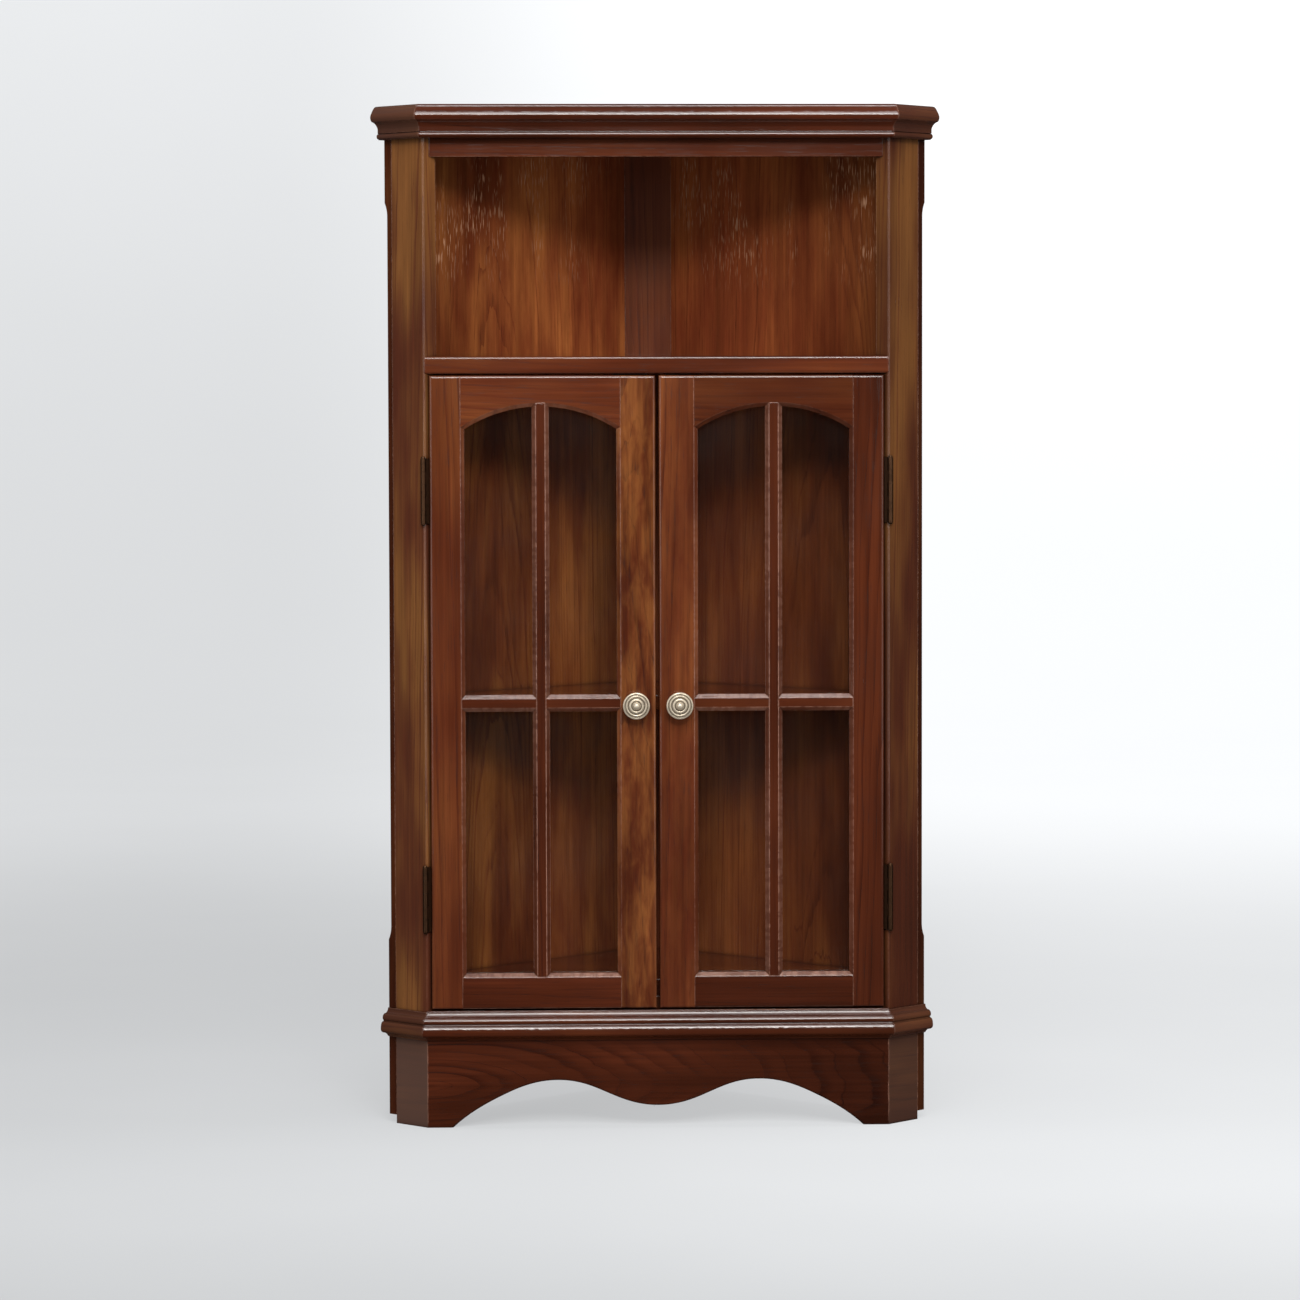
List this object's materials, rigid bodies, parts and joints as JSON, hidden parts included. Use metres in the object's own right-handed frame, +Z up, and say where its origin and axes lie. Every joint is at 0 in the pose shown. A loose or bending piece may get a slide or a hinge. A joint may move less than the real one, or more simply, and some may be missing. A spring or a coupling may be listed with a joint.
{
  "type": "corner china cabinet",
  "caption": "Free-standing corner china cabinet: moulded cornice, open display niche, arched glazed doors on butt hinges, inner shelf, scalloped bracket plinth.",
  "frame": {"origin": "on the floor, centre of the cabinet's bounding box", "axes": "+X to the viewer's right across the front, +Y from the doors back into the room corner, +Z up"},
  "size_m": [0.6682, 0.3546, 1.2],
  "materials": {
    "stained_frame": "red-brown stain under glossy lacquer, open grain",
    "stained_panel": "red-brown stain under glossy lacquer, cathedral grain",
    "glass": "clear float glass",
    "antique_brass": "antique, dark in the hollows",
    "dark_bronze": "dark bronze plating, worn at the edges",
    "steel_screws": "zinc plated",
    "catch_steel": "plain",
    "shelf_pin_steel": "nickel plated",
    "catch_plastic": "moulded dark brown"
  },
  "bodies": {
    "carcass": {"top_board": "stained_frame", "cornice_front": "stained_frame", "cornice_left": "stained_frame", "cornice_right": "stained_frame", "frieze_rail": "stained_frame", "left_post": "stained_frame", "right_post": "stained_frame", "left_wall_panel": "stained_panel", "right_wall_panel": "stained_panel", "corner_panel": "stained_panel", "fixed_shelf": "stained_frame", "inner_shelf": "stained_panel", "shelf_pins": "shelf_pin_steel", "bottom_panel": "stained_panel", "sill_rail": "stained_frame", "floor_cleat": "stained_frame", "base_moulding_front": "stained_frame", "base_moulding_left": "stained_frame", "base_moulding_right": "stained_frame", "front_apron": "stained_frame", "left_foot_board": "stained_frame", "right_foot_board": "stained_frame", "corner_blocks": "stained_frame", "left_frame_leaves": "dark_bronze", "right_frame_leaves": "dark_bronze", "left_hinge_pins": "dark_bronze", "right_hinge_pins": "dark_bronze", "frame_leaf_screws": "steel_screws", "catch_housings": "catch_plastic", "catch_screws": "steel_screws"},
    "left_door": {"left_hinge_stile": "stained_frame", "left_lock_stile": "stained_frame", "left_top_rail": "stained_frame", "left_bottom_rail": "stained_frame", "left_upright_bar": "stained_frame", "left_outer_cross_bar": "stained_frame", "left_inner_cross_bar": "stained_frame", "left_glass": "glass", "left_glass_beads": "stained_frame", "left_knob": "antique_brass", "left_knob_screw": "steel_screws", "left_catch_plate": "catch_steel", "left_door_leaves": "dark_bronze", "left_door_leaf_screws": "steel_screws"},
    "right_door": {"right_hinge_stile": "stained_frame", "right_lock_stile": "stained_frame", "right_top_rail": "stained_frame", "right_bottom_rail": "stained_frame", "right_upright_bar": "stained_frame", "right_outer_cross_bar": "stained_frame", "right_inner_cross_bar": "stained_frame", "right_glass": "glass", "right_glass_beads": "stained_frame", "right_knob": "antique_brass", "right_knob_screw": "steel_screws", "right_catch_plate": "catch_steel", "right_door_leaves": "dark_bronze", "right_door_leaf_screws": "steel_screws"}
  },
  "joints": [
    {"name": "left_door_swing", "type": "hinge", "parent": "carcass", "child": "left_door", "pos_m": [-0.27382, -0.15563, 0.51], "axis": [0, 0, -1], "range_deg": [0, 135]},
    {"name": "right_door_swing", "type": "hinge", "parent": "carcass", "child": "right_door", "pos_m": [0.27382, -0.15563, 0.51], "axis": [0, 0, 1], "range_deg": [0, 135]}
  ]
}
